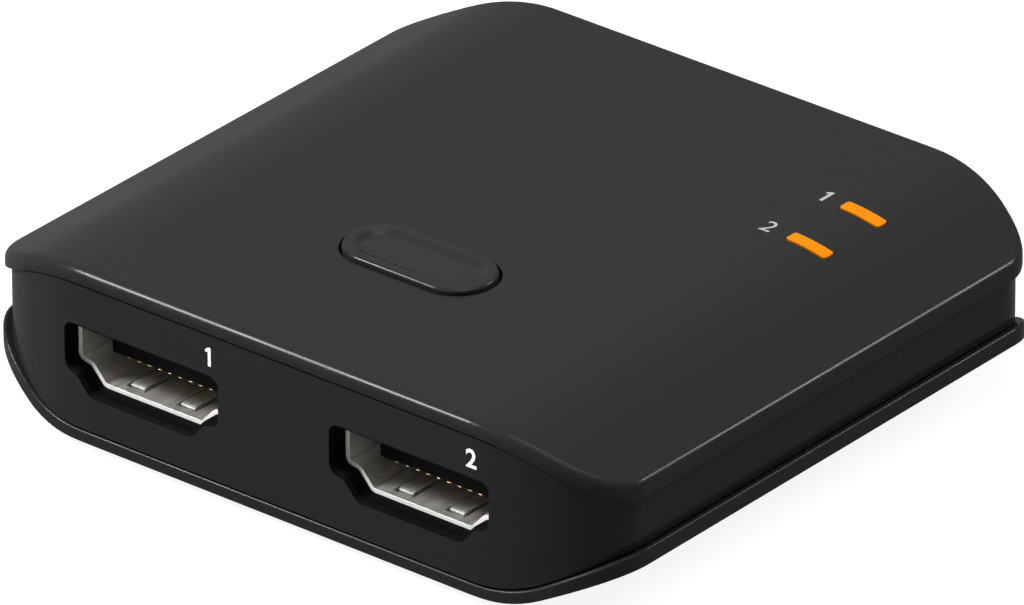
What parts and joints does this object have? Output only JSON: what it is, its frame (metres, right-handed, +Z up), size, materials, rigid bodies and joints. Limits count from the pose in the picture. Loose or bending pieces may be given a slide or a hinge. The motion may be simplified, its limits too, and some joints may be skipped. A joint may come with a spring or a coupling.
{
  "type": "hdmi switch",
  "caption": "Small flat black box with rounded corners that sends one video input to either of its front outputs at the press of an oval button; amber lamps show which.",
  "frame": {"origin": "on the table under the middle of the case, level with the undersides of the rubber feet", "axes": "+X to the right seen from the front, +Y to the rear, +Z up; the two outputs face -Y"},
  "size_m": [0.0614, 0.0564, 0.0154],
  "materials": {
    "case_plastic": "fine satin moulded texture",
    "button_plastic": "smooth satin",
    "foot_rubber": "matt",
    "screw_steel": "black zinc plated",
    "circuit_board": "green solder mask",
    "socket_metal": "nickel plated",
    "socket_plastic": "moulded",
    "contact_gold": "gold plated",
    "lamp_amber": "clear amber, moulded",
    "chip_light_resin": "cast resin",
    "chip_plastic": "moulded epoxy",
    "lead_tin": "tin plated",
    "switch_plastic": "moulded",
    "crystal_metal": "drawn can",
    "coil_plastic": "pressed ferrite",
    "capacitor_ceramic": "fired",
    "resistor_ceramic": "fired, glazed"
  },
  "bodies": {
    "casing": {"top_cover": "case_plastic", "bottom_cover": "case_plastic", "wall_frame": "case_plastic", "rubber_feet": "foot_rubber", "case_screws": "screw_steel", "main_board": "circuit_board", "output_1_shell": "socket_metal", "output_2_shell": "socket_metal", "input_shell": "socket_metal", "power_shell": "socket_metal", "output_1_insulator": "socket_plastic", "output_2_insulator": "socket_plastic", "input_insulator": "socket_plastic", "power_insulator": "socket_plastic", "output_1_contacts": "contact_gold", "output_2_contacts": "contact_gold", "input_contacts": "contact_gold", "power_contacts": "contact_gold", "light_bar_1": "lamp_amber", "light_bar_2": "lamp_amber", "chip_light_1": "chip_light_resin", "chip_light_2": "chip_light_resin", "switch_chip": "chip_plastic", "control_chip": "chip_plastic", "regulator": "chip_plastic", "surge_arrays": "chip_plastic", "switch_chip_leads": "lead_tin", "control_chip_leads": "lead_tin", "regulator_leads": "lead_tin", "switch_terminals": "lead_tin", "switch_body": "switch_plastic", "crystal": "crystal_metal", "power_coil": "coil_plastic", "capacitors": "capacitor_ceramic", "resistors": "resistor_ceramic"},
    "button": {"button_cap": "button_plastic"},
    "plunger": {"switch_plunger": "switch_plastic"}
  },
  "joints": [
    {"name": "button_press", "type": "slide", "parent": "casing", "child": "button", "axis": [0, 0, -1], "range_m": [0, 0.0003], "stiffness_N_per_m": 1500, "springref_m": -0.0002},
    {"name": "plunger_press", "type": "slide", "parent": "casing", "child": "plunger", "axis": [0, 0, -1], "range_m": [0, 0.0003]}
  ],
  "couplings": [
    {"joint": "plunger_press", "follows": "button_press", "ratio": 1}
  ]
}
